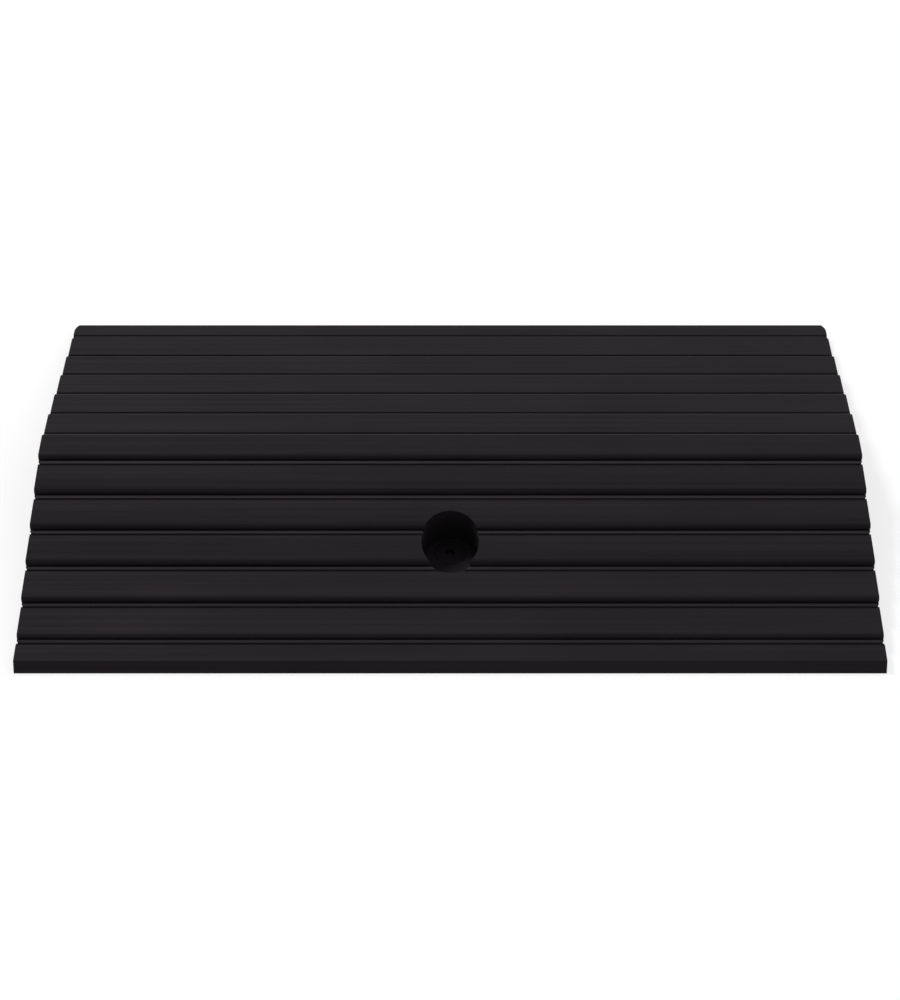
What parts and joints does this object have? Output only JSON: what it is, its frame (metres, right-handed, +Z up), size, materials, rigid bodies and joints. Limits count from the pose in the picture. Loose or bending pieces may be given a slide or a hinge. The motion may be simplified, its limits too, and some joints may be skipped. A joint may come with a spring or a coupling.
{
  "type": "threshold ramp",
  "caption": "Low rubber ramp with two stepped slopes and a flat crown. It straddles a door threshold so that a wheelchair can roll over it, and has an oval well for a floor fixing.",
  "frame": {"origin": "centre of the ramp's footprint, on the floor", "axes": "+X across the doorway, to the right seen from the front; +Y along the way of travel, from the slope with the well to the plain slope; +Z up"},
  "size_m": [0.8, 0.4766, 0.06],
  "materials": {
    "rubber": "moulded, satin",
    "grip_strip": "extruded, satin",
    "washer": "black coated steel, satin"
  },
  "bodies": {
    "root": {"ramp_body": "rubber", "front_grip_strip_1": "grip_strip", "front_grip_strip_2": "grip_strip", "front_grip_strip_3_left": "grip_strip", "front_grip_strip_3_right": "grip_strip", "front_grip_strip_4_left": "grip_strip", "front_grip_strip_4_right": "grip_strip", "front_grip_strip_5": "grip_strip", "front_grip_strip_6": "grip_strip", "rear_grip_strip_1": "grip_strip", "rear_grip_strip_2": "grip_strip", "rear_grip_strip_3": "grip_strip", "rear_grip_strip_4": "grip_strip", "rear_grip_strip_5": "grip_strip", "rear_grip_strip_6": "grip_strip", "fixing_washer": "washer"}
  },
  "joints": []
}
